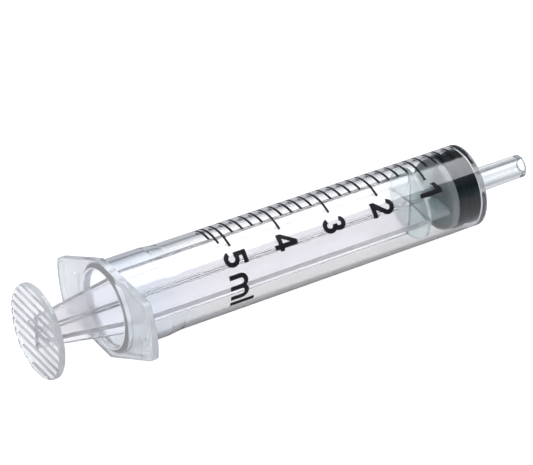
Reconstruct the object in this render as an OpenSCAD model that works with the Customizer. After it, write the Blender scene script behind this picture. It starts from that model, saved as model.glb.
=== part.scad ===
// 5 ml oral syringe, lying with its nozzle towards +X.
// The origin is under the middle of the syringe, on the plane of the flange's lower edge.
// Every position along the syringe is measured from the 0 ml line, positive towards the nozzle.

/* [Barrel] */
// Volume marked by the last numbered line, in millilitres
full_volume = 5; // [2:1:5]
// Bore radius of the barrel
bore_r = 6; // [5.8:0.05:6.4]
// Wall thickness at the nozzle end
wall_front = 0.62; // [0.5:0.02:0.7]
// Wall thickness where the wider mouth section starts
wall_back = 0.8; // [0.72:0.02:1]
// Distance from the 0 ml line back to the wider mouth section
tight_bore_l = 54.6; // [54:0.2:58]
// How much the mouth section is wider, on the radius
mouth_step = 0.26; // [0.15:0.01:0.35]
// Thickness of the wall that closes the nozzle end
end_wall = 0.65; // [0.5:0.05:1]

/* [Nozzle] */
// Length of the nozzle beyond the end wall
nozzle_l = 10.7; // [8:0.1:14]
// Outer radius at the nozzle's root
nozzle_root_r = 1.95; // [1.85:0.05:2.2]
// Outer radius at the nozzle's tip
nozzle_tip_r = 1.83; // [1.6:0.01:1.85]
// Radius of the fluid passage
passage_r = 0.95; // [0.8:0.05:1.2]

/* [Finger flange] */
// Distance from the 0 ml line back to the flange's finger side
flange_at = 63.2; // [62:0.1:66]
// Thickness of the flange with its rim
flange_t = 1.4; // [1.2:0.1:2]
// Reach of the flange's rounded ends from the axis
flange_reach = 14.3; // [12:0.1:16]
// Distance from the axis to each long edge
flange_half_w = 7.75; // [7.7:0.05:8]
// Angle between the two pairs of long edges
flange_taper = 28; // [15:1:35]
// Radius of the flange's corners
flange_corner = 1.2; // [0.6:0.1:2]
// Width of the raised rim round the flange
rim_w = 1; // [0.6:0.1:1.4]
// Depth of the two pockets inside the rim
pocket_depth = 0.7; // [0.3:0.1:0.9]

/* [Plunger] */
// Outer radius of the four ribs inside the barrel
rib_r = 5.6; // [5:0.1:5.7]
// Thickness of each rib
rib_t = 0.8; // [0.6:0.05:1.2]
// Radius of the ribs where they meet the thumb disc
rib_end_r = 2.85; // [2.4:0.05:4]
// Distance from the 0 ml line back to the start of the ribs' taper
taper_at = 61.4; // [58:0.2:64]
// Radius of the thumb disc
thumb_r = 7.6; // [7:0.1:7.7]
// Distance from the 0 ml line back to the thumb disc's inner face
thumb_at = 75.3; // [72:0.1:80]
// Thickness of the thumb disc without its grip ridges
thumb_t = 0.75; // [0.6:0.05:1.2]
// Height of the grip ridges
ridge_h = 0.3; // [0.1:0.05:0.5]
// Spacing of the grip ridges
ridge_pitch = 1.54; // [1.2:0.02:2]
// Radius of the support disc behind the stopper
support_r = 5.75; // [5.5:0.05:5.8]

/* [Stopper] */
// Length of the rubber stopper
stopper_l = 4.05; // [3.8:0.05:4.6]
// Depth of the groove between its two sealing ribs
groove_depth = 0.45; // [0.2:0.05:0.6]

/* [Scale] */
// Width of each printed line
line_w = 0.46; // [0.2:0.02:0.6]
// Height of the printed numerals, along the barrel
numeral_h = 3.95; // [2.5:0.05:4.5]
// Width of the strokes of the numerals
stroke_w = 0.76; // [0.4:0.02:0.9]

/* [Hidden] */
$fn = 96;

ml = 1000 / (PI * pow(bore_r, 2));        // length of bore that holds 1 ml
outer_front_r = bore_r + wall_front;
outer_back_r = bore_r + wall_back;
mouth_r = bore_r + mouth_step;
mouth_outer_r = outer_back_r + mouth_step;
bore_end = 0.05;                          // the stopper's front stops just short of the end wall
front_face = bore_end + end_wall;
nozzle_end = front_face + nozzle_l;
flange_back = flange_at + flange_t;
thumb_back = thumb_at + thumb_t + ridge_h;
middle = (nozzle_end - thumb_back) / 2;   // middle of the whole syringe's length
edge_round = 0.25;
step_l = 0.4;                             // length of the sloped step to the mouth section

seal_gap = 0.03;                          // running clearance round the stopper's ribs
swivel_gap = 0.05;                        // running clearance round the plunger's button
button_r = 3.2;
button_l = 1.1;
button_front = 1.3;                       // depth of the button's front face in the stopper
neck_r = 1.8;
groove_l = 1.3;
stopper_crown = 0.35;                     // how far the stopper's rim is rounded back

support_t = 1.2;
web_disc_at = 9.4;
web_disc_t = 0.55;
front_rib_r = 5.2;

ink_t = 0.03;
ink_sink = 0.02;                          // how far the ink bites into the wall
lines_per_ml = 5;
line_start = -29;                         // angle from straight up, where every line starts
short_line_end = 9;
long_line_end = 27.8;
numeral_angle = 45.5;
unit_m_angle = 83;
unit_l_angle = 108;
extra_lines = [[0.16, 19], [0.26, 7.6]];  // millilitres beyond the last number, and end angle

// Turns a shape built up its local Z into the syringe's axis, with local X pointing up
module along_syringe() {
    translate([-middle, 0, flange_half_w]) rotate([0, 90, 0]) rotate([0, 0, 180]) children();
}

function outer_r(at) = outer_front_r + (outer_back_r - outer_front_r) * (-at) / tight_bore_l;

// Outline of the finger flange, grown by `grow`
module flange_outline(grow) {
    slab = 2 * (flange_half_w + grow);
    offset(r = flange_corner, $fn = 48) offset(delta = -flange_corner) intersection() {
        circle(r = flange_reach + grow);
        square([slab, 4 * flange_reach], center = true);
        rotate(-flange_taper) square([slab, 4 * flange_reach], center = true);
    }
}

module flange_plate() {
    translate([0, 0, -flange_back]) difference() {
        linear_extrude(flange_t) flange_outline(0);
        translate([0, 0, -1]) linear_extrude(pocket_depth + 1) flange_outline(-rim_w);
    }
    translate([0, 0, -flange_back]) cylinder(h = flange_t, r = mouth_outer_r + 0.6);
}

module barrel_shell() {
    rotate_extrude($fn = 144) polygon([
        [0, -flange_at - flange_t / 2],
        [mouth_outer_r, -flange_at - flange_t / 2],
        [mouth_outer_r, -tight_bore_l - step_l],
        [outer_back_r, -tight_bore_l],
        [outer_front_r, front_face - edge_round],
        [outer_front_r - edge_round, front_face],
        [nozzle_root_r + edge_round, front_face],
        [nozzle_root_r, front_face + edge_round],
        [nozzle_tip_r, nozzle_end - edge_round / 2],
        [nozzle_tip_r - edge_round / 2, nozzle_end],
        [0, nozzle_end]
    ]);
}

module barrel() {
    color([0.90, 0.92, 0.95, 0.45]) along_syringe() difference() {
        union() {
            barrel_shell();
            flange_plate();
        }
        translate([0, 0, -tight_bore_l]) cylinder(h = tight_bore_l + bore_end, r = bore_r, $fn = 144);
        translate([0, 0, -tight_bore_l - step_l]) cylinder(h = step_l, r1 = mouth_r, r2 = bore_r, $fn = 144);
        translate([0, 0, -flange_back - 1])
            cylinder(h = flange_back + 1 - tight_bore_l - step_l, r = mouth_r, $fn = 144);
        cylinder(h = nozzle_end + 1, r = passage_r);
    }
}

module stopper() {
    seal_r = bore_r - seal_gap;
    groove_r = seal_r - groove_depth;
    seal_l = (stopper_l - groove_l) / 2;
    slope = groove_depth / 2;
    color([0.10, 0.11, 0.11]) along_syringe() difference() {
        rotate_extrude($fn = 144) polygon([
            [0, -stopper_l],
            [seal_r - edge_round, -stopper_l],
            [seal_r, -stopper_l + edge_round],
            [seal_r, -stopper_l + seal_l - slope],
            [groove_r, -stopper_l + seal_l],
            [groove_r, -seal_l],
            [seal_r, -seal_l + slope],
            [seal_r, -stopper_crown],
            [seal_r - stopper_crown, 0],
            [0, 0]
        ]);
        translate([0, 0, -button_front - button_l - swivel_gap])
            cylinder(h = button_l + 2 * swivel_gap, r = button_r + swivel_gap);
        translate([0, 0, -stopper_l - 1]) cylinder(h = stopper_l + 1 - button_front, r = neck_r + swivel_gap);
    }
}

// Half outline of the ribs in the plane of one pair, mirrored to make the other half
module rib_outline() {
    for (side = [0, 1]) mirror([side, 0]) polygon([
        [0, -thumb_at],
        [rib_end_r, -thumb_at],
        [rib_r, -taper_at],
        [rib_r, -web_disc_at],
        [front_rib_r, -web_disc_at],
        [front_rib_r, -stopper_l - support_t],
        [0, -stopper_l - support_t]
    ]);
}

module ribs() {
    for (turn = [0, 90]) rotate([0, 0, turn]) rotate([90, 0, 0])
        translate([0, 0, -rib_t / 2]) linear_extrude(rib_t) rib_outline();
}

module thumb_disc() {
    ridge_w = ridge_pitch / 2;
    ridge_count = floor(2 * (thumb_r - ridge_w) / ridge_pitch / 2) * 2;
    translate([0, 0, -thumb_at - thumb_t]) cylinder(h = thumb_t, r = thumb_r);
    intersection() {
        translate([0, 0, -thumb_back]) cylinder(h = thumb_back - thumb_at, r = thumb_r - 0.3);
        for (i = [-ridge_count / 2 : ridge_count / 2])
            translate([(i + 0.25) * ridge_pitch, 0, -thumb_back + thumb_r])
                cube([ridge_w, 2 * thumb_r, 2 * thumb_r], center = true);
    }
}

module plunger() {
    behind = stopper_l + swivel_gap;
    color([0.88, 0.90, 0.93, 0.6]) along_syringe() {
        ribs();
        thumb_disc();
        translate([0, 0, -web_disc_at - web_disc_t]) cylinder(h = web_disc_t, r = support_r);
        translate([0, 0, -behind - support_t]) cylinder(h = support_t, r = support_r);
        translate([0, 0, -behind - 0.1]) cylinder(h = behind + 0.1 - button_front - button_l / 2, r = neck_r);
        translate([0, 0, -button_front - button_l]) cylinder(h = button_l, r = button_r);
    }
}

// One printed line round the barrel, from the shared start angle to its end angle
module scale_line(at, end_angle) {
    r = outer_r(at);
    rotate([0, 0, line_start]) rotate_extrude(angle = end_angle - line_start, $fn = 144)
        translate([r - ink_sink, at - line_w / 2]) square([ink_sink + ink_t, line_w]);
}

module scale_lines() {
    color([0.05, 0.05, 0.06]) along_syringe() {
        for (i = [0 : full_volume * lines_per_ml])
            scale_line(-i * ml / lines_per_ml, i % lines_per_ml == 0 ? long_line_end : short_line_end);
        for (extra = extra_lines) scale_line(-(full_volume + extra[0]) * ml, extra[1]);
    }
}

// Wraps a flat character round the barrel, centred at the line `at`
module on_barrel(at, angle) {
    r = outer_r(at);
    intersection() {
        rotate([0, 0, angle]) rotate([90, 0, 90]) translate([0, at, 0]) linear_extrude(bore_r + 2) children();
        translate([0, 0, at - numeral_h]) difference() {
            cylinder(h = 2 * numeral_h, r = r + ink_t);
            translate([0, 0, -1]) cylinder(h = 2 * numeral_h + 2, r = r - ink_sink);
        }
    }
}

// A quarter, half or longer ring between two angles
module arc_stroke(r, from, to) {
    rotate_steps = 24;
    turns = [for (i = [0 : rotate_steps]) from + (to - from) * i / rotate_steps];
    polygon(concat(
        [for (a = turns) [r * cos(a), r * sin(a)]],
        [for (i = [rotate_steps : -1 : 0]) (r - stroke_w) * [cos(turns[i]), sin(turns[i])]]
    ));
}

module bar(from, size) {
    translate(from) square(size);
}

module numeral_1() {
    bar([-0.1, -numeral_h / 2], [stroke_w, numeral_h]);
    polygon([
        [-0.1, numeral_h / 2],
        [-1.25, numeral_h / 2 - 0.8],
        [-1.25, numeral_h / 2 - 1.55],
        [-0.1, numeral_h / 2 - 0.95]
    ]);
}

module numeral_2() {
    r = 1.24;
    top = numeral_h / 2 - r;
    foot = -numeral_h / 2;
    translate([0, top]) arc_stroke(r, -20, 170);
    polygon([
        [r * cos(-20), top + r * sin(-20)],
        [(r - stroke_w) * cos(-20), top + (r - stroke_w) * sin(-20)],
        [-r, foot + stroke_w],
        [-r, foot],
        [-0.25, foot + stroke_w / 2]
    ]);
    bar([-r, foot], [2 * r, stroke_w]);
}

module numeral_3() {
    r_top = 1.12;
    r_low = numeral_h / 2 - r_top + stroke_w / 2;
    translate([0, numeral_h / 2 - r_top]) arc_stroke(r_top, -95, 165);
    translate([0, -numeral_h / 2 + r_low]) arc_stroke(r_low, -165, 95);
}

module numeral_4() {
    half = numeral_h / 2;
    bar([0.2, -half], [stroke_w, numeral_h]);
    bar([-1.35, -half + 0.75], [2.7, stroke_w]);
    polygon([
        [0.2, half],
        [0.2, half - 1.2],
        [-0.55, -half + 0.75 + stroke_w],
        [-1.35, -half + 0.75 + stroke_w]
    ]);
}

module numeral_5() {
    r = 1.32;
    half = numeral_h / 2;
    translate([-0.05, -half + r]) arc_stroke(r, -160, 130);
    bar([-1, half - stroke_w], [2.15, stroke_w]);
    bar([-1, -half + 1.85], [stroke_w, numeral_h - 1.85]);
}

module letter_m() {
    pitch = 1.74;
    r = (pitch + stroke_w) / 2;
    x_height = 0.8 * numeral_h;
    for (i = [-1 : 1]) bar([i * pitch - stroke_w / 2, -numeral_h / 2], [stroke_w, x_height - r]);
    for (i = [-1, 0]) translate([(i + 0.5) * pitch, -numeral_h / 2 + x_height - r]) arc_stroke(r, 0, 180);
    bar([-pitch - stroke_w / 2, -numeral_h / 2 + x_height - r], [stroke_w, r]);
}

module letter_l() {
    bar([-stroke_w / 2, -numeral_h / 2], [stroke_w, 1.06 * numeral_h]);
}

module scale_numerals() {
    color([0.05, 0.05, 0.06]) along_syringe() {
        on_barrel(-ml, numeral_angle) numeral_1();
        on_barrel(-2 * ml, numeral_angle) numeral_2();
        on_barrel(-3 * ml, numeral_angle) numeral_3();
        on_barrel(-4 * ml, numeral_angle) numeral_4();
        on_barrel(-5 * ml, numeral_angle) numeral_5();
        on_barrel(-5 * ml, unit_m_angle) letter_m();
        on_barrel(-5 * ml, unit_l_angle) letter_l();
    }
}

barrel();
stopper();
plunger();
scale_lines();
scale_numerals();
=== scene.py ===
import bpy
import bmesh
import math
import numpy as np
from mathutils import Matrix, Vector


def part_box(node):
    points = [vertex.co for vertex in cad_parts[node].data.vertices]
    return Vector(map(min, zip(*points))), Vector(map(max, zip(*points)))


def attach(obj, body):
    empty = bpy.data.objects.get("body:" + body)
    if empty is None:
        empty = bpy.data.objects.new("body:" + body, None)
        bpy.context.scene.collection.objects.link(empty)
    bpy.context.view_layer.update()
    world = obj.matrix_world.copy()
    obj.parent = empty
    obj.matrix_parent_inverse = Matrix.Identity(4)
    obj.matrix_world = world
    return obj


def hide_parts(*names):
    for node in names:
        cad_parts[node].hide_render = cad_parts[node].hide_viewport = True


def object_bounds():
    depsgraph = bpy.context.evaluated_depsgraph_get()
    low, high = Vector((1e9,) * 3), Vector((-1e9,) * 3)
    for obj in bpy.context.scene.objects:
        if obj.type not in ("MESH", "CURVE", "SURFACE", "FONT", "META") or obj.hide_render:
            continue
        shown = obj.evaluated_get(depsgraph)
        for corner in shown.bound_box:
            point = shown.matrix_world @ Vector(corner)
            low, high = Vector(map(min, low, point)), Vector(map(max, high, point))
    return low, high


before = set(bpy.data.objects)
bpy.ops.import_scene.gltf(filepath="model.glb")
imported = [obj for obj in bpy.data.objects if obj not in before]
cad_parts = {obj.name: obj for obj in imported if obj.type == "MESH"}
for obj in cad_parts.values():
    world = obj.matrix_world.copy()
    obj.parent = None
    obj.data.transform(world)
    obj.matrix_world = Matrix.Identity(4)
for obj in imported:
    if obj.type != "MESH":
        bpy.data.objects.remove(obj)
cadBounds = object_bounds()
print("frame loaded,", len(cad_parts), "CAD nodes")
mm = 0.001
mergeGap = 2e-7  # metres; points closer than this are one point

# The syringe's axis runs along X. The stopper's front edge at rest is the 0 ml line.
stopperLow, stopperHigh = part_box("stopper")
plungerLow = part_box("plunger")[0]
zeroX = stopperHigh[0]
axisZ = (stopperLow[2] + stopperHigh[2]) / 2


def alongAxis(s, r, angle):  # s: mm ahead of the 0 ml line, angle: from straight up towards -Y
    return (zeroX + s * mm, -r * mm * np.sin(angle), axisZ + r * mm * np.cos(angle))


def roundCorners(corners, closed=False, steps=4, support=0.04):
    # corners are (s, r, radius); s and r may be numbers or one value per angle
    mostTurn, mostReach, supportShare = 2.6, 0.42, 0.1
    flat = np.broadcast_arrays(*[value for corner in corners for value in corner[:2]])
    places = [np.array(flat[2 * i:2 * i + 2], dtype=float) for i in range(len(corners))]
    points = []
    last = len(corners) - 1
    for i, here in enumerate(places):
        radius = corners[i][2]
        if radius == 0 or (not closed and i in (0, last)):
            points.append(here)
            continue
        before, after = places[i - 1], places[(i + 1) % len(places)]
        inLength = np.maximum(np.linalg.norm(here - before, axis=0), 1e-9)
        outLength = np.maximum(np.linalg.norm(after - here, axis=0), 1e-9)
        inward, outward = (here - before) / inLength, (after - here) / outLength
        turn = np.arccos(np.clip((inward * outward).sum(axis=0), -1, 1))
        reach = radius * np.tan(np.minimum(turn, mostTurn) / 2)
        reach = np.minimum(reach, mostReach * np.minimum(inLength, outLength))
        first, second = here - inward * reach, here + outward * reach
        points.append(first - inward * np.minimum(support, supportShare * inLength))
        for k in range(steps + 1):
            u = k / steps
            points.append((1 - u) ** 2 * first + 2 * u * (1 - u) * here + u ** 2 * second)
        points.append(second + outward * np.minimum(support, supportShare * outLength))
    return points


def meshFromRings(name, rings, closed=False, poles=()):
    # each ring is an (n, 3) array of places in metres; poles are end points on the axis
    count = len(rings[0])
    places = [tuple(p) for ring in rings for p in ring]
    faces = []
    pairs = [(i, i + 1) for i in range(len(rings) - 1)]
    if closed:
        pairs.append((len(rings) - 1, 0))
    for a, b in pairs:
        for j in range(count):
            k = (j + 1) % count
            faces.append((a * count + j, a * count + k, b * count + k, b * count + j))
    for ringIndex, pole in poles:
        places.append(tuple(pole))
        tip = len(places) - 1
        for j in range(count):
            k = (j + 1) % count
            faces.append((ringIndex * count + j, ringIndex * count + k, tip))
    mesh = bpy.data.meshes.new(name)
    mesh.from_pydata(places, [], faces)
    return finishMesh(name, mesh)


def addObject(name, data):
    item = bpy.data.objects.new(name, data)
    bpy.context.scene.collection.objects.link(item)
    return item


def finishMesh(name, mesh, sharpAngle=32):
    work = bmesh.new()
    work.from_mesh(mesh)
    bmesh.ops.remove_doubles(work, verts=work.verts, dist=mergeGap)
    bmesh.ops.dissolve_degenerate(work, edges=work.edges, dist=mergeGap / 2)
    bmesh.ops.recalc_face_normals(work, faces=work.faces)
    for face in work.faces:
        face.smooth = True
    for edge in work.edges:
        if len(edge.link_faces) == 2:
            edge.smooth = edge.calc_face_angle() < math.radians(sharpAngle)
    work.to_mesh(mesh)
    work.free()
    return addObject(name, mesh)


def fromNodes(holder, tree, inputs, name):
    # sets the named inputs, evaluates the tree and keeps the result as a plain mesh
    modifier = holder.modifiers.new("shape", "NODES")
    modifier.node_group = tree
    for item in tree.interface.items_tree:
        if item.item_type == "SOCKET" and item.in_out == "INPUT" and item.name in inputs:
            modifier[item.identifier] = inputs[item.name]
    holder.update_tag()
    bpy.context.view_layer.update()
    evaluated = holder.evaluated_get(bpy.context.evaluated_depsgraph_get())
    mesh = bpy.data.meshes.new_from_object(evaluated)
    mesh.name = name
    holder.modifiers.remove(modifier)
    bpy.data.objects.remove(holder)
    return finishMesh(name, mesh)


class TreeMaker:  # short calls for building a node tree
    def __init__(self, tree):
        self.tree, self.nodes, self.links = tree, tree.nodes, tree.links

    def socket(self, name, kind, out=False, value=None):
        side = "OUTPUT" if out else "INPUT"
        item = self.tree.interface.new_socket(name, in_out=side, socket_type="NodeSocket" + kind)
        if value is not None:
            item.default_value = value

    def ends(self):
        self.exit = self.nodes.new("NodeGroupOutput")
        return self.nodes.new("NodeGroupInput").outputs

    def geometryEnds(self, inputs):  # one named input for each size, whole numbers as integers
        self.socket("Geometry", "Geometry")
        for name, value in inputs.items():
            self.socket(name, "Int" if isinstance(value, int) else "Float", value=value)
        self.socket("Geometry", "Geometry", out=True)
        return self.ends()

    def finish(self, geometry, material):
        real = self.add("GeometryNodeRealizeInstances", {"Geometry": geometry}).outputs[0]
        painted = self.add("GeometryNodeSetMaterial", {"Geometry": real, "Material": material})
        self.feed(self.exit.inputs[0], painted.outputs[0])
        return self.tree

    def add(self, kind, values=None, **settings):
        node = self.nodes.new(kind)
        for key, value in settings.items():
            setattr(node, key, value)
        for key, value in (values or {}).items():
            self.feed(node.inputs[key], value)
        return node

    def feed(self, socket, value):
        if isinstance(value, bpy.types.NodeSocket):
            self.links.new(value, socket)
        else:
            socket.default_value = value

    def math(self, operation, *values):
        return self.add("ShaderNodeMath", dict(enumerate(values)), operation=operation).outputs[0]

    def product(self, *values):
        total = values[0]
        for value in values[1:]:
            total = self.math("MULTIPLY", total, value)
        return total

    def vector(self, x, y, z):
        return self.add("ShaderNodeCombineXYZ", {"X": x, "Y": y, "Z": z}).outputs[0]

    def split(self, vector):
        return self.add("ShaderNodeSeparateXYZ", {0: vector}).outputs

    def smooth(self, value, low, high, start, end):
        limits = {"Value": value, "From Min": low, "From Max": high, "To Min": start, "To Max": end}
        return self.add("ShaderNodeMapRange", limits, interpolation_type="SMOOTHSTEP").outputs[0]

    def mix(self, factor, first, second, kind="RGBA", **settings):
        values = {"Factor": factor, "A": first, "B": second}
        return self.add("ShaderNodeMix", values, data_type=kind, **settings).outputs["Result"]


def newTree(name, kind="GeometryNodeTree"):
    return TreeMaker(bpy.data.node_groups.new(name, kind))


def mouldedFinishGroup():
    # faint flow marks and haze of an injection moulded surface
    maker = newTree("mouldedFinish", "ShaderNodeTree")
    maker.socket("Vector", "Vector")
    for name, value in (("Grain Scale", 900.0), ("Haze Low", 0.02), ("Haze High", 0.06),
                        ("Bump Strength", 0.05), ("Bump Distance", 0.00001)):
        maker.socket(name, "Float", value=value)
    maker.socket("Roughness", "Float", out=True)
    maker.socket("Normal", "Vector", out=True)
    entry = maker.ends()
    flow = maker.add("ShaderNodeMapping", {"Vector": entry["Vector"], "Scale": (0.25, 1.0, 1.0)})
    flow = flow.outputs[0]
    marks = maker.add("ShaderNodeTexNoise", {"Vector": flow, "Scale": entry["Grain Scale"],
                                             "Detail": 3.0, "Roughness": 0.6})
    wideScale, wideShare = 140.0, 0.55
    wide = maker.add("ShaderNodeTexNoise", {"Vector": flow, "Scale": wideScale, "Detail": 2.0})
    blend = maker.math("ADD", maker.math("MULTIPLY", marks.outputs["Fac"], 1 - wideShare),
                       maker.math("MULTIPLY", wide.outputs["Fac"], wideShare))
    haze = maker.add("ShaderNodeMapRange", {"Value": blend, "From Min": 0.35, "From Max": 0.65,
                                            "To Min": entry["Haze Low"], "To Max": entry["Haze High"]})
    bump = maker.add("ShaderNodeBump", {"Height": blend, "Strength": entry["Bump Strength"],
                                        "Distance": entry["Bump Distance"]})
    maker.feed(maker.exit.inputs["Roughness"], haze.outputs[0])
    maker.feed(maker.exit.inputs["Normal"], bump.outputs[0])
    return maker.tree


mouldedFinish = mouldedFinishGroup()


def newMaterial(name, colour, finish, constants):
    material = bpy.data.materials.new(name)
    material.use_nodes = True
    maker = TreeMaker(material.node_tree)
    shader = maker.nodes["Principled BSDF"]
    place = maker.add("ShaderNodeTexCoord").outputs["Object"]
    surface = maker.add("ShaderNodeGroup", {}, node_tree=mouldedFinish)
    for key, value in {"Vector": place, **finish}.items():
        maker.feed(surface.inputs[key], value)
    # colour drifts a little between two close tints
    cloud = maker.add("ShaderNodeTexNoise", {"Vector": place, "Scale": colour["scale"], "Detail": 2.0})
    tint = maker.mix(cloud.outputs["Fac"], (*colour["dark"], 1), (*colour["light"], 1))
    for key, value in {"Base Color": tint, "Roughness": surface.outputs["Roughness"],
                       "Normal": surface.outputs["Normal"], **constants}.items():
        maker.feed(shader.inputs[key], value)
    return material


clearPlastic = newMaterial(
    "clearPolypropylene",
    {"dark": (0.962, 0.960, 0.968), "light": (0.990, 0.988, 0.992), "scale": 120.0},
    {"Haze Low": 0.015, "Haze High": 0.045, "Bump Strength": 0.12},
    {"Transmission Weight": 1.0, "IOR": 1.49})


def shadeRear(material, tint, start, stop):
    # painted shade: a darker, bluer tint that grows towards the flange
    maker = TreeMaker(material.node_tree)
    baseColour = maker.nodes["Principled BSDF"].inputs["Base Color"]
    plain = baseColour.links[0].from_socket
    along = maker.split(maker.nodes["Texture Coordinate"].outputs["Object"])["X"]
    paintedFade = maker.smooth(along, start, stop, 1.0, 0.0)
    maker.feed(baseColour, maker.mix(paintedFade, plain, (*tint, 1), blend_type="MULTIPLY"))


# painted shade on the barrel: its tint, and where it is full and where it ends
rearPaintedShade = {"tint": (0.90, 0.94, 0.985), "from": 64, "to": 44}  # mm behind the 0 ml line
shadeRear(clearPlastic, rearPaintedShade["tint"], zeroX - rearPaintedShade["from"] * mm, zeroX - rearPaintedShade["to"] * mm)
milkyPlastic = newMaterial(
    "milkyPolypropylene",
    {"dark": (0.92, 0.912, 0.935), "light": (0.965, 0.958, 0.972), "scale": 150.0},
    {"Haze Low": 0.10, "Haze High": 0.17, "Bump Strength": 0.2},
    {"Transmission Weight": 0.93, "IOR": 1.49})
frostedPlastic = newMaterial(
    "frostedPolypropylene",
    {"dark": (0.91, 0.92, 0.95), "light": (0.95, 0.96, 0.985), "scale": 180.0},
    {"Haze Low": 0.14, "Haze High": 0.24, "Bump Strength": 0.2},
    {"Transmission Weight": 0.3, "IOR": 1.49})
nozzlePlastic = newMaterial(
    "nozzlePolypropylene",
    {"dark": (0.80, 0.83, 0.84), "light": (0.86, 0.88, 0.885), "scale": 160.0},
    {"Haze Low": 0.02, "Haze High": 0.05, "Bump Strength": 0.12},
    {"Transmission Weight": 1.0, "IOR": 1.45})
gripPlastic = newMaterial(
    "gripPolypropylene",
    {"dark": (0.89, 0.905, 0.925), "light": (0.95, 0.96, 0.975), "scale": 200.0},
    {"Haze Low": 0.05, "Haze High": 0.10, "Bump Strength": 0.2},
    {"Transmission Weight": 0.82, "IOR": 1.49})
hazyPlastic = newMaterial(
    "hazyPolypropylene",
    {"dark": (0.80, 0.825, 0.85), "light": (0.88, 0.895, 0.915), "scale": 180.0},
    {"Haze Low": 0.16, "Haze High": 0.28, "Bump Strength": 0.3},
    {"Transmission Weight": 0.72, "IOR": 1.49})
# painted shade: a darker, greener copy of the milky plastic for the plunger ahead of the web disc, next
# to the black stopper
paintedShadePlastic = newMaterial(
    "paintedShadePolypropylene",
    {"dark": (0.80, 0.925, 0.93), "light": (0.87, 0.96, 0.965), "scale": 220.0},
    {"Haze Low": 0.03, "Haze High": 0.07, "Bump Strength": 0.2},
    {"Transmission Weight": 0.78, "IOR": 1.49})
blackRubber = newMaterial(
    "stopperRubber",
    {"dark": (0.001, 0.006, 0.007), "light": (0.004, 0.011, 0.013), "scale": 700.0},
    {"Haze Low": 0.34, "Haze High": 0.5, "Bump Strength": 0.5, "Bump Distance": 0.00004,
     "Grain Scale": 2500.0},
    {"IOR": 1.52, "Specular IOR Level": 0.05})
printedInk = newMaterial(
    "printedInk",
    {"dark": (0.004, 0.004, 0.005), "light": (0.012, 0.012, 0.014), "scale": 1800.0},
    {"Haze Low": 0.3, "Haze High": 0.55, "Bump Strength": 0.3, "Grain Scale": 4000.0},
    {"IOR": 1.45, "Specular IOR Level": 0.25})
print("materials ready")


# the barrel is one closed moulding, built as rings round the axis
barrelSize = {
    "boreR": 6.0, "frontOuterR": 6.62, "backOuterR": 6.8, "mouthR": 6.26, "mouthOuterR": 7.06,
    "tightBore": 53.6, "stepLength": 2.6, "boreEnd": 0.05, "frontFace": 0.7,
    "nozzleEnd": 11.4, "nozzleRootR": 1.95, "nozzleTipR": 1.83, "passageR": 0.95,
    "flangeFront": 63.2, "flangeBack": 64.6, "flangeReach": 14.29, "flangeHalf": 7.74,
    "flangeTaper": 28, "flangeCorner": 1.2, "rimWidth": 1.0, "leastRim": 0.56, "lipR": 7.6,
    "flangeRound": 0.24, "pocketDepth": 0.7, "pocketRamp": 1.3, "pocketDraft": 0.12, "pocketRound": 0.14,
    "leastPocket": 0.2, "stepRound": 3.0, "sides": 384,
    "hazeFrom": 62.9, "mouthHazeFrom": 61.0, "mouthHazeR": 6.5, "nozzleZoneR": 2.3,
}


def lozengeRadius(angles, size):
    # distance from the axis to the flange's rounded outline, at each angle
    corner = size["flangeCorner"]
    half, reach = size["flangeHalf"] - corner, size["flangeReach"] - corner
    around = np.radians(np.arange(0, 360, 0.1))
    tilt = math.radians(size["flangeTaper"])
    limit = np.full_like(around, reach)
    for normal in (0, math.pi, -tilt, math.pi - tilt):
        facing = np.cos(around - normal)
        limit = np.where(facing > 1e-6, np.minimum(limit, half / np.maximum(facing, 1e-6)), limit)
    inner = np.stack([limit * np.cos(around), limit * np.sin(around)])
    outline = []
    for a in np.radians(np.arange(0, 360, 0.25)):
        normal = np.array([math.cos(a), math.sin(a)])
        furthest = inner[:, np.argmax(normal @ inner)]
        outline.append(furthest + corner * normal)
    outline = np.array(outline + outline[:1])
    walked = np.concatenate([[0], np.cumsum(np.hypot(*np.diff(outline, axis=0).T))])
    evenly = np.linspace(0, walked[-1], 8000, endpoint=False)
    across, up = np.interp(evenly, walked, outline[:, 0]), np.interp(evenly, walked, outline[:, 1])
    bearing = np.arctan2(up, across)
    order = np.argsort(bearing)
    return np.interp(angles, bearing[order], np.hypot(across, up)[order], period=2 * math.pi)


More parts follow.
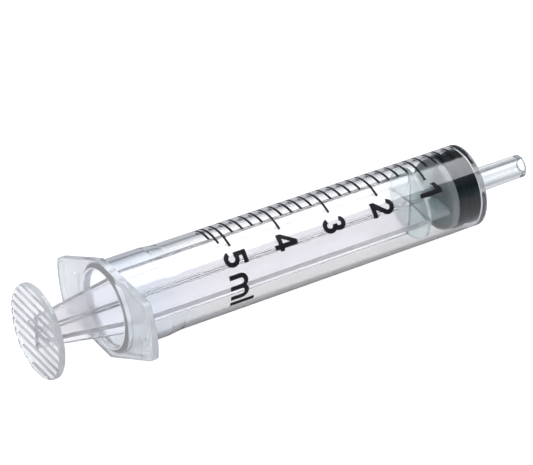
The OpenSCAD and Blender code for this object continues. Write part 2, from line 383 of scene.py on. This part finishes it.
def buildBarrel(size):
    angles = np.linspace(0, 2 * math.pi, size["sides"], endpoint=False)
    outline = lozengeRadius((angles + math.pi) % (2 * math.pi) - math.pi, size)
    lip = np.minimum(size["lipR"], outline - size["leastRim"])
    room = np.clip((outline - size["rimWidth"] - lip) / size["pocketRamp"], 0, 1)
    depth = size["pocketDepth"] * room * room * (3 - 2 * room)
    back, front = -size["flangeBack"], -size["flangeFront"]
    stepFrom, stepTo = -size["tightBore"], -size["tightBore"] - size["stepLength"]
    draft, stepRound, pocketRound = size["pocketDraft"], size["stepRound"], size["pocketRound"]
    rimFoot = np.maximum(outline - size["rimWidth"], lip + size["leastPocket"])
    rimTop = np.maximum(outline - size["rimWidth"] + draft, lip + size["leastPocket"] + draft / 2)
    corners = [
        (size["nozzleEnd"], size["passageR"], 0.06),
        (size["nozzleEnd"], size["nozzleTipR"], 0.16),
        (size["frontFace"], size["nozzleRootR"], 0.45),
        (size["frontFace"], size["frontOuterR"], 0.16),
        (stepFrom, size["backOuterR"], stepRound),
        (stepTo, size["mouthOuterR"], stepRound),
        (front, size["mouthOuterR"], 0.4),
        (front, outline, size["flangeRound"]),
        (back, outline, size["flangeRound"]),
        (back, rimTop, pocketRound),
        (back + depth, rimFoot, pocketRound),
        (back + depth, lip + draft, pocketRound),
        (back, lip, pocketRound),
        (back, size["mouthR"], 0.2),
        (stepTo, size["mouthR"], stepRound),
        (stepFrom, size["boreR"], stepRound),
        (size["boreEnd"], size["boreR"], 0.18),
        (size["boreEnd"], size["passageR"], 0.1),
    ]
    rings = []
    for s, r in roundCorners(corners, closed=True):
        rings.append(np.stack(alongAxis(s, r, angles), axis=1))
    return meshFromRings("barrelMoulding", rings, closed=True)


barrel = buildBarrel(barrelSize)
for material in (clearPlastic, hazyPlastic, frostedPlastic, nozzlePlastic):
    barrel.data.materials.append(material)
clearFinish, hazyFinish, frostedFinish, nozzleFinish = range(4)
for face in barrel.data.polygons:
    behind = (zeroX - face.center.x) / mm
    aside = math.hypot(face.center.y, face.center.z - axisZ) / mm
    if behind < -barrelSize["boreEnd"] - 0.01:
        face.material_index = hazyFinish if aside > barrelSize["nozzleZoneR"] else nozzleFinish
    elif behind > barrelSize["mouthHazeFrom"] and aside < barrelSize["mouthHazeR"]:
        face.material_index = frostedFinish
    elif behind > barrelSize["hazeFrom"]:
        face.material_index = hazyFinish
    else:
        face.material_index = clearFinish
print("barrel", len(barrel.data.polygons), "faces")


# ribs, discs, neck and button are one closed moulding
plungerSize = {
    "ribR": 5.6, "ribEndR": 2.85, "ribHalfT": 0.4, "frontRibR": 5.2, "taperAt": 61.4, "thumbAt": 75.3,
    "inThumb": 0.3, "ribMiddle": 30,
    "webDiscAt": 9.4, "webDiscT": 0.55, "supportR": 5.75, "supportBack": 5.3, "supportFront": 4.04,
    "neckR": 1.8, "buttonR": 3.2, "buttonFront": 1.3, "buttonBack": 2.4,
    "paintedShadeUpTo": 10.2,  # mm behind the 0 ml line, the plastic ahead of this gets a painted shade, tinted darker and greener
}


def crossOutline(reach, half):
    # the four ribs' outline: a quarter, from the middle of one rib's edge to the next, turned four times
    corners = [(reach, 0, 0), (reach, half, 0.16), (half, half, 0.3),
               (half, reach, 0.16), (0, reach, 0)]
    quarter = [np.array(p).ravel() for p in roundCorners(corners, steps=5, support=0.05)][:-1]
    points = []
    for turn in range(4):
        c, s = [(1, 0), (0, 1), (-1, 0), (0, -1)][turn]
        points += [(c * p[0] - s * p[1], s * p[0] + c * p[1]) for p in quarter]
    return np.array(points)


def buildPlunger(size):
    count = len(crossOutline(size["ribR"], size["ribHalfT"]))
    turns = np.linspace(0, 2 * math.pi, count, endpoint=False)
    circle = np.stack([np.cos(turns), np.sin(turns)], axis=1)
    rings = []

    def ring(s, flat):  # flat holds (up, towards -Y) in mm
        up, across = axisZ + flat[:, 0] * mm, -flat[:, 1] * mm
        rings.append(np.stack([np.full(count, zeroX + s * mm), across, up], axis=1))

    def discs(corners):
        for p in roundCorners(corners, steps=3, support=0.03):
            ring(float(p[0]), circle * float(p[1]))

    half = size["ribHalfT"]
    webBack, webFront = -size["webDiscAt"] - size["webDiscT"], -size["webDiscAt"]
    rodEnd = -size["thumbAt"] - size["inThumb"]
    ring(rodEnd, crossOutline(size["ribEndR"], half))
    thumbAt, taperAt = -size["thumbAt"], -size["taperAt"]
    for s in (thumbAt, taperAt - 0.1, taperAt + 0.1, -size["ribMiddle"], webBack):
        flare = np.interp(s, [thumbAt, taperAt], [size["ribEndR"], size["ribR"]])
        ring(s, crossOutline(flare, half))
    edge = size["supportR"]
    discs([(webBack, edge - 0.1, 0), (webBack, edge, 0.12),
           (webFront, edge, 0.12), (webFront, edge - 0.2, 0)])
    for s in (webFront, -size["supportBack"]):
        ring(s, crossOutline(size["frontRibR"], half))
    discs([(-size["supportBack"], edge - 0.3, 0), (-size["supportBack"], edge, 0.15),
           (-size["supportFront"], edge, 0.15), (-size["supportFront"], size["neckR"], 0.1),
           (-size["buttonBack"], size["neckR"], 0.1), (-size["buttonBack"], size["buttonR"], 0.2),
           (-size["buttonFront"], size["buttonR"], 0.3), (-size["buttonFront"], 0.4, 0)])
    ends = [(0, (zeroX + rodEnd * mm, 0, axisZ)),
            (len(rings) - 1, (zeroX - size["buttonFront"] * mm, 0, axisZ))]
    return meshFromRings("plungerRod", rings, poles=ends)


plungerRod = buildPlunger(plungerSize)
for material in (milkyPlastic, paintedShadePlastic):
    plungerRod.data.materials.append(material)
# faces ahead of the web disc get the painted shade
for face in plungerRod.data.polygons:
    face.material_index = int(face.center.x > zeroX - plungerSize["paintedShadeUpTo"] * mm)
print("plunger rod", len(plungerRod.data.polygons), "faces")


thumbSize = {
    "Radius": 7.6 * mm, "Thickness": 0.75 * mm, "Edge Round": 0.3 * mm, "Edge Drop": 0.18 * mm,
    "Ridge Height": 0.3 * mm, "Ridge Pitch": 1.56 * mm, "Ridge Shift": 0.25 * mm, "Ridge Sharpness": 5.0,
    "Rows": 181, "Columns": 61, "Back X": plungerLow[0], "Axis Z": axisZ,
}


def thumbDiscTree(material, inputs):
    maker = newTree("thumbDiscRidges")
    size = maker.geometryEnds(inputs)
    block = maker.add("GeometryNodeMeshCube", {"Size": (2.0, 2.0, 2.0), "Vertices X": size["Rows"],
                                               "Vertices Y": size["Columns"], "Vertices Z": 3})
    block = block.outputs["Mesh"]
    part = maker.split(maker.add("GeometryNodeInputPosition").outputs[0])
    # rows crowd together at the top and bottom, columns at both ends of a ridge
    crowding = 0.2
    up = maker.math("SINE", maker.math("MULTIPLY", part["X"], math.pi / 2))
    rowShare = maker.math("ADD", maker.math("MULTIPLY", part["X"], 1 - crowding),
                          maker.math("MULTIPLY", up, crowding))
    across = maker.math("SINE", maker.math("MULTIPLY", part["Y"], math.pi / 2))
    height = maker.math("MULTIPLY", rowShare, size["Radius"])
    radiusSquared = maker.math("MULTIPLY", size["Radius"], size["Radius"])
    heightSquared = maker.math("MULTIPLY", height, height)
    chordSquared = maker.math("SUBTRACT", radiusSquared, heightSquared)
    side = maker.math("MULTIPLY", across, maker.math("SQRT", maker.math("MAXIMUM", chordSquared, 0.0)))
    fromAxis = maker.math("SQRT", maker.math("ADD", maker.math("MULTIPLY", side, side), heightSquared))
    toEdge = maker.math("MAXIMUM", maker.math("SUBTRACT", size["Radius"], fromAxis), 0.0)
    share = maker.math("MINIMUM", maker.math("DIVIDE", toEdge, size["Edge Round"]), 1.0)
    lack = maker.math("SUBTRACT", 1.0, share)
    roundSquared = maker.math("SUBTRACT", 1.0, maker.math("MULTIPLY", lack, lack))
    rounding = maker.math("SQRT", maker.math("MAXIMUM", roundSquared, 0.0))
    shifted = maker.math("SUBTRACT", height, size["Ridge Shift"])
    cycle = maker.math("FRACT", maker.math("DIVIDE", shifted, size["Ridge Pitch"]))
    swing = maker.math("ABSOLUTE", maker.math("SUBTRACT", maker.math("MULTIPLY", cycle, 2.0), 1.0))
    crown = maker.math("SUBTRACT", 1.0, maker.math("POWER", swing, size["Ridge Sharpness"]))
    ridge = maker.product(crown, size["Ridge Height"], rounding)
    lip = maker.math("MULTIPLY", maker.math("SUBTRACT", 1.0, rounding), size["Edge Drop"])
    faceX = maker.math("ADD", size["Back X"], size["Ridge Height"])
    backX = maker.math("ADD", faceX, maker.math("SUBTRACT", lip, ridge))
    frontX = maker.math("ADD", faceX, maker.math("SUBTRACT", size["Thickness"], lip))
    depth = maker.math("MULTIPLY", maker.math("ADD", part["Z"], 1.0), 0.5)
    x = maker.math("ADD", backX, maker.math("MULTIPLY", depth, maker.math("SUBTRACT", frontX, backX)))
    place = maker.vector(x, side, maker.math("ADD", size["Axis Z"], height))
    shaped = maker.add("GeometryNodeSetPosition", {"Geometry": block, "Position": place})
    merged = maker.add("GeometryNodeMergeByDistance", {"Geometry": shaped.outputs[0], "Distance": 1e-6})
    return maker.finish(merged.outputs[0], material)


def holderMesh(name, places=(), edges=()):
    mesh = bpy.data.meshes.new(name)
    mesh.from_pydata(places, edges, [])
    return addObject(name, mesh)


thumbTree = thumbDiscTree(gripPlastic, thumbSize)
thumbDisc = fromNodes(holderMesh("thumbHolder"), thumbTree, thumbSize, "thumbDisc")
print("thumb disc", len(thumbDisc.data.polygons), "faces")


# the stopper is an outline turned round the axis
stopperSize = {"length": 4.05, "sealR": 5.97, "groove": 0.45, "grooveLength": 1.3, "crown": 0.35,
               "cavityR": 3.25, "cavityFront": 1.25, "cavityBack": 2.45, "neckR": 1.85}


def latheTree(material, inputs):
    maker = newTree("turnedOutline")
    size = maker.geometryEnds(inputs)
    outline = maker.add("GeometryNodeMeshToCurve", {"Mesh": size["Geometry"]}).outputs[0]
    path = maker.add("GeometryNodeCurvePrimitiveCircle", {"Resolution": size["Segments"],
                                                          "Radius": 1.0}).outputs[0]
    swept = maker.add("GeometryNodeCurveToMesh", {"Curve": path, "Profile Curve": outline})
    where = maker.split(maker.add("GeometryNodeInputPosition").outputs[0])
    acrossSquared = maker.math("MULTIPLY", where["X"], where["X"])
    upSquared = maker.math("MULTIPLY", where["Y"], where["Y"])
    flatR = maker.math("SQRT", maker.math("ADD", acrossSquared, upSquared))
    r = maker.math("ABSOLUTE", maker.math("SUBTRACT", flatR, 1.0))
    scale = maker.math("DIVIDE", r, flatR)
    turned = maker.vector(maker.math("SUBTRACT", size["Zero X"], where["Z"]),
                          maker.math("MULTIPLY", where["Y"], scale),
                          maker.math("ADD", size["Axis Z"], maker.math("MULTIPLY", where["X"], scale)))
    placed = maker.add("GeometryNodeSetPosition", {"Geometry": swept.outputs[0], "Position": turned})
    merged = maker.add("GeometryNodeMergeByDistance", {"Geometry": placed.outputs[0], "Distance": 1e-6})
    return maker.finish(merged.outputs[0], material)


def stopperOutline(size):
    seal, back = size["sealR"], -size["length"]
    groove = seal - size["groove"]
    sealLength = (size["length"] - size["grooveLength"]) / 2
    slope = size["groove"] / 2
    corners = [
        (-size["cavityFront"], 0, 0), (-size["cavityFront"], size["cavityR"], 0.25),
        (-size["cavityBack"], size["cavityR"], 0.1), (-size["cavityBack"], size["neckR"], 0.08),
        (back, size["neckR"], 0.1), (back, seal, 0.3),
        (back + sealLength - slope, seal, 0.25), (back + sealLength, groove, 0.2),
        (-sealLength, groove, 0.2), (-sealLength + slope, seal, 0.25),
        (-size["crown"], seal, 0.2), (0, seal - size["crown"], 0.3), (0, 0, 0),
    ]
    # the outline's X is the radius and its Y the place along the axis, in metres
    places = [(float(r) * mm, float(s) * mm, 0) for s, r in roundCorners(corners, steps=5)]
    return holderMesh("stopperOutline", places, [(i, i + 1) for i in range(len(places) - 1)])


turnInputs = {"Segments": 192, "Zero X": zeroX, "Axis Z": axisZ}
stopperTree = latheTree(blackRubber, turnInputs)
stopper = fromNodes(stopperOutline(stopperSize), stopperTree, turnInputs, "rubberStopper")
print("stopper", len(stopper.data.polygons), "faces")


millilitre = 1000 / (math.pi * barrelSize["boreR"] ** 2)  # mm of bore that hold 1 ml
inkSize = {
    "lift": 0.003, "thickness": 0.02, "lineWidth": 0.42, "linesPerMl": 5, "fullVolume": 5,
    "startAngle": -29, "shortEnd": 9, "longEnd": 27.8, "pointsAround": 48,
    "extraVolumes": (5.16, 5.26), "extraEnds": (19, 7.6),
}


def barrelOuterR(s):
    share = -s / barrelSize["tightBore"]
    return barrelSize["frontOuterR"] + (barrelSize["backOuterR"] - barrelSize["frontOuterR"]) * share


def scaleLinesTree(material, inputs):
    maker = newTree("scaleLines")
    size = maker.geometryEnds(inputs)
    row = maker.add("GeometryNodeMeshLine", {"Count": size["Lines"], "Offset": (0.0, 0.0, 0.0)})
    index = maker.add("GeometryNodeInputIndex").outputs[0]
    numbered = maker.add("GeometryNodeStoreNamedAttribute",
                         {"Geometry": row.outputs[0], "Name": "lineNumber", "Value": index},
                         data_type="INT", domain="POINT").outputs[0]
    strip = maker.add("GeometryNodeMeshGrid", {"Size X": 1.0, "Size Y": 1.0, "Vertices Y": 2,
                                               "Vertices X": size["Points Around"]}).outputs[0]
    copies = maker.add("GeometryNodeInstanceOnPoints", {"Points": numbered, "Instance": strip})
    real = maker.add("GeometryNodeRealizeInstances", {"Geometry": copies.outputs[0]}).outputs[0]
    number = maker.add("GeometryNodeInputNamedAttribute", {"Name": "lineNumber"},
                       data_type="INT").outputs[0]
    part = maker.split(maker.add("GeometryNodeInputPosition").outputs[0])
    share = maker.math("ADD", part["X"], 0.5)
    isLong = maker.math("LESS_THAN", maker.math("MODULO", number, size["Lines Per Ml"]), 0.5)
    longer = maker.math("MULTIPLY", isLong, maker.math("SUBTRACT", size["Long End"], size["Short End"]))
    endAngle = maker.math("ADD", size["Short End"], longer)
    # the marks past the last number have places and ends of their own
    firstExtra = maker.math("COMPARE", number, size["Last Line"], 0.1)
    past = maker.math("GREATER_THAN", number, maker.math("SUBTRACT", size["Last Line"], 0.5))
    second = maker.math("GREATER_THAN", number, maker.math("ADD", size["Last Line"], 0.5))
    extraEnd = maker.math("ADD", maker.math("MULTIPLY", firstExtra, size["Extra End A"]),
                          maker.math("MULTIPLY", second, size["Extra End B"]))
    extraAt = maker.math("ADD", maker.math("MULTIPLY", firstExtra, size["Extra At A"]),
                         maker.math("MULTIPLY", second, size["Extra At B"]))
    ordinary = maker.math("SUBTRACT", 1.0, past)
    endAngle = maker.math("ADD", maker.math("MULTIPLY", endAngle, ordinary), extraEnd)
    back = maker.math("ADD", maker.product(number, size["Pitch"], ordinary), extraAt)
    swept = maker.math("MULTIPLY", share, maker.math("SUBTRACT", endAngle, size["Start"]))
    angle = maker.math("ADD", size["Start"], swept)
    along = maker.math("SUBTRACT", maker.math("MULTIPLY", part["Y"], size["Line Width"]), back)
    radius = maker.math("ADD", size["Front Radius"], maker.product(along, -1.0, size["Taper"]))
    x = maker.math("ADD", size["Zero X"], along)
    y = maker.product(maker.math("SINE", angle), radius, -1.0)
    z = maker.math("ADD", size["Axis Z"], maker.math("MULTIPLY", maker.math("COSINE", angle), radius))
    place = maker.vector(x, y, z)
    wrapped = maker.add("GeometryNodeSetPosition", {"Geometry": real, "Position": place}).outputs[0]
    raised = maker.add("GeometryNodeExtrudeMesh", {"Mesh": wrapped, "Offset Scale": size["Thickness"],
                                                   "Individual": False}, mode="FACES")
    under = maker.add("GeometryNodeFlipFaces", {"Mesh": wrapped})
    both = maker.add("GeometryNodeJoinGeometry")
    for piece in (raised.outputs["Mesh"], under.outputs[0]):
        maker.links.new(piece, both.inputs[0])
    merged = maker.add("GeometryNodeMergeByDistance", {"Geometry": both.outputs[0], "Distance": 5e-7})
    return maker.finish(merged.outputs[0], material)


def scaleInputs(size):
    lineCount = size["fullVolume"] * size["linesPerMl"] + 1
    inputs = {
        "Lines": lineCount + len(size["extraVolumes"]), "Lines Per Ml": size["linesPerMl"],
        "Last Line": lineCount, "Points Around": size["pointsAround"],
        "Pitch": millilitre / size["linesPerMl"] * mm,
        "Line Width": size["lineWidth"] * mm, "Start": math.radians(size["startAngle"]),
        "Short End": math.radians(size["shortEnd"]), "Long End": math.radians(size["longEnd"]),
        "Front Radius": (barrelSize["frontOuterR"] + size["lift"]) * mm,
        "Taper": (barrelSize["backOuterR"] - barrelSize["frontOuterR"]) / barrelSize["tightBore"],
        "Thickness": size["thickness"] * mm, "Zero X": zeroX, "Axis Z": axisZ,
    }
    for letter, volume, end in zip("AB", size["extraVolumes"], size["extraEnds"]):
        inputs["Extra At " + letter] = volume * millilitre * mm
        inputs["Extra End " + letter] = math.radians(end)
    return inputs


lineInputs = scaleInputs(inkSize)
lineTree = scaleLinesTree(printedInk, lineInputs)
scaleLines = fromNodes(holderMesh("lineHolder"), lineTree, lineInputs, "inkLines")
print("scale lines", len(scaleLines.data.polygons), "faces")


numeralSize = {
    "height": 3.95, "stroke": 0.76, "angle": 45.5, "mAngle": 83, "lAngle": 108, "cut": 0.12,
    "twoR": 1.24, "fiveR": 1.32, "threeTopR": 1.12, "mPitch": 1.74,
}


def arcPoints(cx, cy, r, start, stop, steps=20):
    turns = np.radians(np.linspace(start, stop, steps + 1))
    return [(cx + r * math.cos(a), cy + r * math.sin(a)) for a in turns]


def strokeArc(cx, cy, r, start, stop, width):
    return arcPoints(cx, cy, r, start, stop) + arcPoints(cx, cy, r - width, stop, start)


def box(x0, y0, x1, y1):
    return [(x0, y0), (x1, y0), (x1, y1), (x0, y1)]


def glyphOutlines(size):
    # flat outlines of each character, x along the reading direction, y towards the nozzle
    h, w = size["height"], size["stroke"]
    half = h / 2
    two, five, threeTop, pitch = size["twoR"], size["fiveR"], size["threeTopR"], size["mPitch"]
    threeLow = half - threeTop + w / 2
    twoEnd = math.radians(-20)
    arch = (pitch + w) / 2
    shoulder = -half + 0.8 * h - arch
    return {
        "1": [box(-0.1, -half, -0.1 + w, half),
              [(-0.1, half), (-1.25, half - 0.8), (-1.25, half - 1.55), (-0.1, half - 0.95)]],
        "2": [strokeArc(0, half - two, two, -20, 170, w),
              [(two * math.cos(twoEnd), half - two + two * math.sin(twoEnd)),
               ((two - w) * math.cos(twoEnd), half - two + (two - w) * math.sin(twoEnd)),
               (-two, -half + w), (-two, -half), (-0.25, -half + w / 2)],
              box(-two, -half, two, -half + w)],
        "3": [strokeArc(0, half - threeTop, threeTop, -95, 165, w),
              strokeArc(0, -half + threeLow, threeLow, -165, 95, w)],
        "4": [box(0.2, -half, 0.2 + w, half), box(-1.35, -half + 0.75, 1.35, -half + 0.75 + w),
              [(0.2, half), (0.2, half - 1.2), (-0.55, -half + 0.75 + w), (-1.35, -half + 0.75 + w)]],
        "5": [strokeArc(-0.05, -half + five, five, -160, 130, w), box(-1, half - w, 1.15, half),
              box(-1, -half + 1.85, -1 + w, half)],
        "m": [box(i * pitch - w / 2, -half, i * pitch + w / 2, shoulder) for i in (-1, 0, 1)]
             + [strokeArc((i + 0.5) * pitch, shoulder, arch, 0, 180, w) for i in (-1, 0)],
        "l": [box(-w / 2, -half, w / 2, -half + 1.06 * h)],
    }


def wrapGlyph(work, outline, at, middleAngle, size):
    # fills one outline, cuts it into strips and bends it round the barrel
    part = bmesh.new()
    ring = [part.verts.new((x, y, 0)) for x, y in outline]
    edges = [part.edges.new((ring[i], ring[(i + 1) % len(ring)])) for i in range(len(ring))]
    bmesh.ops.triangle_fill(part, edges=edges, use_beauty=True)
    low, high = min(x for x, y in outline), max(x for x, y in outline)
    for x in np.arange(low + size["cut"], high, size["cut"]):
        everything = list(part.verts) + list(part.edges) + list(part.faces)
        bmesh.ops.bisect_plane(part, geom=everything, plane_co=(x, 0, 0), plane_no=(1, 0, 0))
    for vert in part.verts:
        s = at + vert.co.y
        base = barrelOuterR(s) + inkSize["lift"]
        angle = math.radians(middleAngle) + vert.co.x / base
        vert.co = alongAxis(s, base, angle)
    bmesh.ops.recalc_face_normals(part, faces=part.faces)
    axisPoint = Vector((0, 0, axisZ))
    outward = sum(f.normal.yz.dot((f.calc_center_median() - axisPoint).yz) for f in part.faces)
    if outward < 0:
        bmesh.ops.reverse_faces(part, faces=part.faces)
    everything = list(part.verts) + list(part.edges) + list(part.faces)
    under = bmesh.ops.duplicate(part, geom=everything)["geom"]
    bmesh.ops.reverse_faces(part, faces=[g for g in under if isinstance(g, bmesh.types.BMFace)])
    top = [f for f in part.faces if f not in under]
    raised = bmesh.ops.extrude_face_region(part, geom=top)["geom"]
    for vert in (g for g in raised if isinstance(g, bmesh.types.BMVert)):
        away = Vector((0, vert.co.y, vert.co.z - axisZ)).normalized()
        vert.co += away * inkSize["thickness"] * mm
    bmesh.ops.remove_doubles(part, verts=part.verts, dist=mergeGap)
    mesh = bpy.data.meshes.new("glyph")
    part.to_mesh(mesh)
    part.free()
    work.from_mesh(mesh)
    bpy.data.meshes.remove(mesh)


def buildNumerals(size):
    glyphs = glyphOutlines(size)
    fullVolume = inkSize["fullVolume"]
    work = bmesh.new()
    for number in range(1, fullVolume + 1):
        for outline in glyphs[str(number)]:
            wrapGlyph(work, outline, -number * millilitre, size["angle"], size)
    for letter, angle in (("m", size["mAngle"]), ("l", size["lAngle"])):
        for outline in glyphs[letter]:
            wrapGlyph(work, outline, -fullVolume * millilitre, angle, size)
    mesh = bpy.data.meshes.new("inkNumerals")
    work.to_mesh(mesh)
    work.free()
    return addObject("inkNumerals", mesh)


numerals = buildNumerals(numeralSize)
numerals.data.materials.append(printedInk)
print("numerals", len(numerals.data.polygons), "faces")


# which CAD body each piece moves with
for piece, body, slot, node in (
        (barrel, "barrel", "barrel", "barrel"),
        (scaleLines, "barrel", "ink", "scale_lines"),
        (numerals, "barrel", "ink", "scale_numerals"),
        (stopper, "stopper", "stopper", "stopper"),
        (plungerRod, "plunger", "plunger", "plunger"),
        (thumbDisc, "plunger", "plunger", "plunger")):
    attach(piece, body)
    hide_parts(node)


stage = {
    "floorSize": 3.0, "floorColour": (0.30, 0.30, 0.31, 1), "floorGap": 0.00002,
    # the floor's brightness: as seen, through plastic, mirrored, deep in plastic, for scattered light
    "glowSeen": 0.92, "glowThrough": 0.86, "glowMirrored": 0.28, "glowDeep": 1.1, "glowSpread": 1.15,
    # metres to either side of the axis, and the share of brightness left there, for the painted fade and
    # the painted shadow
    "paintedFadeFrom": 0.013, "paintedFadeTo": 0.055, "paintedFadeLow": 0.55, "paintedShadowTo": 0.006, "paintedShadowLow": 0.8,
    "deepFrom": 4.5,  # passes through plastic after which light counts as deep
    "worldSeen": (0.93, 0.93, 0.93, 1), "worldSpread": (0.86, 0.87, 0.91, 1),
    "worldStops": [(0.0, (0.34, 0.37, 0.41)), (0.2, (0.20, 0.23, 0.26)), (0.5, (0.07, 0.09, 0.10)),
                   (0.85, (0.3, 0.3, 0.31))],
}


def raySorts(maker, ray, size):
    # 1 or 0 for light that was scattered, that went deep, and that wasn't mirrored
    scattered = maker.math("GREATER_THAN", ray["Diffuse Depth"], 0.5)
    deep = maker.math("GREATER_THAN", ray["Transmission Depth"], size["deepFrom"])
    straight = maker.math("LESS_THAN", ray["Glossy Depth"], 0.5)
    return scattered, deep, straight


def buildFloor(size):
    half = size["floorSize"] / 2
    mesh = bpy.data.meshes.new("floor")
    corners = [(-half, -half, 0), (half, -half, 0), (half, half, 0), (-half, half, 0)]
    mesh.from_pydata(corners, [], [(0, 1, 2, 3)])
    floor = addObject("floor", mesh)
    material = bpy.data.materials.new("paleFloor")
    material.use_nodes = True
    maker = TreeMaker(material.node_tree)
    shader = maker.nodes["Principled BSDF"]
    ray = maker.add("ShaderNodeLightPath").outputs
    scattered, deep, straight = raySorts(maker, ray, size)
    # painted light on the table: its glow fades away from the syringe, and a painted soft shadow lies
    # under it
    aside = maker.split(maker.add("ShaderNodeTexCoord").outputs["Object"])["Y"]
    away = maker.math("ABSOLUTE", aside)
    paintedFade = maker.smooth(away, size["paintedFadeFrom"], size["paintedFadeTo"], 1.0, size["paintedFadeLow"])
    paintedShadow = maker.smooth(away, 0.0, size["paintedShadowTo"], size["paintedShadowLow"], 1.0)
    through = maker.math("MULTIPLY", straight, size["glowThrough"] - size["glowMirrored"])
    through = maker.product(maker.math("ADD", through, size["glowMirrored"]), paintedFade, paintedShadow)
    through = maker.math("MAXIMUM", through, maker.math("MULTIPLY", deep, size["glowDeep"]))
    through = maker.math("MULTIPLY", through, ray["Is Transmission Ray"])
    seen = maker.math("MULTIPLY", ray["Is Camera Ray"], size["glowSeen"])
    glow = maker.mix(scattered, maker.math("ADD", through, seen), size["glowSpread"], "FLOAT")
    for key, value in {"Base Color": size["floorColour"], "Roughness": 0.9, "Specular IOR Level": 0.0,
                       "Emission Color": (1, 1, 1, 1), "Emission Strength": glow}.items():
        maker.feed(shader.inputs[key], value)
    floor.data.materials.append(material)
    floor.location.z = min(cadBounds[0][2], 0) - size["floorGap"]


def buildWorld(size):
    world = bpy.data.worlds.new("studio")
    bpy.context.scene.world = world
    world.use_nodes = True
    maker = TreeMaker(world.node_tree)
    ray = maker.add("ShaderNodeLightPath").outputs
    scattered, deep, straight = raySorts(maker, ray, size)
    height = maker.split(maker.add("ShaderNodeTexCoord").outputs["Generated"])["Z"]
    ramp = maker.add("ShaderNodeValToRGB", {"Fac": height})
    elements = ramp.color_ramp.elements
    while len(elements) < len(size["worldStops"]):
        elements.new(0.5)
    for element, (position, colour) in zip(elements, size["worldStops"]):
        element.position = position
        element.color = (*colour, 1)
    straight = maker.math("MULTIPLY", straight, ray["Is Transmission Ray"])
    bright = maker.math("MAXIMUM", scattered, maker.math("MAXIMUM", straight, deep))
    room = maker.mix(bright, ramp.outputs["Color"], size["worldSpread"])
    background = maker.nodes["Background"]
    maker.feed(background.inputs["Color"], maker.mix(ray["Is Camera Ray"], room, size["worldSeen"]))
    background.inputs["Strength"].default_value = 1.0


softboxes = {
    "topBox": {"place": (0.40, 0.0, 0.9), "width": 0.9, "height": 0.55, "power": 5.6,
               "tint": (0.94, 0.96, 1.0)},
    "leftBox": {"place": (-0.8, -0.25, 0.45), "width": 0.5, "height": 0.5, "power": 3.0,
                "tint": (1, 1, 1)},
}


def softbox(name, size):
    light = bpy.data.lights.new(name, "AREA")
    light.shape = "RECTANGLE"
    light.size, light.size_y = size["width"], size["height"]
    light.energy = size["power"]
    light.color = size["tint"]
    lamp = addObject(name, light)
    lamp.location = size["place"]
    lamp.rotation_euler = (-Vector(size["place"])).to_track_quat("-Z", "Y").to_euler()


cameraSettings = {"azimuth": -31.67, "elevation": 33.63, "distance": 0.67263, "lens": 289.3,
                  "aimFromZero": (-0.0280, 0.01254, -0.00606)}


def buildCamera(size):
    aim = Vector((zeroX, 0, axisZ)) + Vector(size["aimFromZero"])
    azimuth, elevation = math.radians(size["azimuth"]), math.radians(size["elevation"])
    flat = math.cos(elevation)
    back = Vector((math.sin(azimuth) * flat, -math.cos(azimuth) * flat, math.sin(elevation)))
    data = bpy.data.cameras.new("camera")
    data.sensor_width = 36
    data.lens = size["lens"]
    data.clip_start, data.clip_end = 0.01, 10
    camera = addObject("camera", data)
    camera.location = aim + back * size["distance"]
    camera.rotation_euler = (-back).to_track_quat("-Z", "Y").to_euler()
    bpy.context.scene.camera = camera


buildFloor(stage)
buildWorld(stage)
for name, size in softboxes.items():
    softbox(name, size)
buildCamera(cameraSettings)
bpy.context.scene.view_settings.view_transform = "Standard"
print("stage ready")
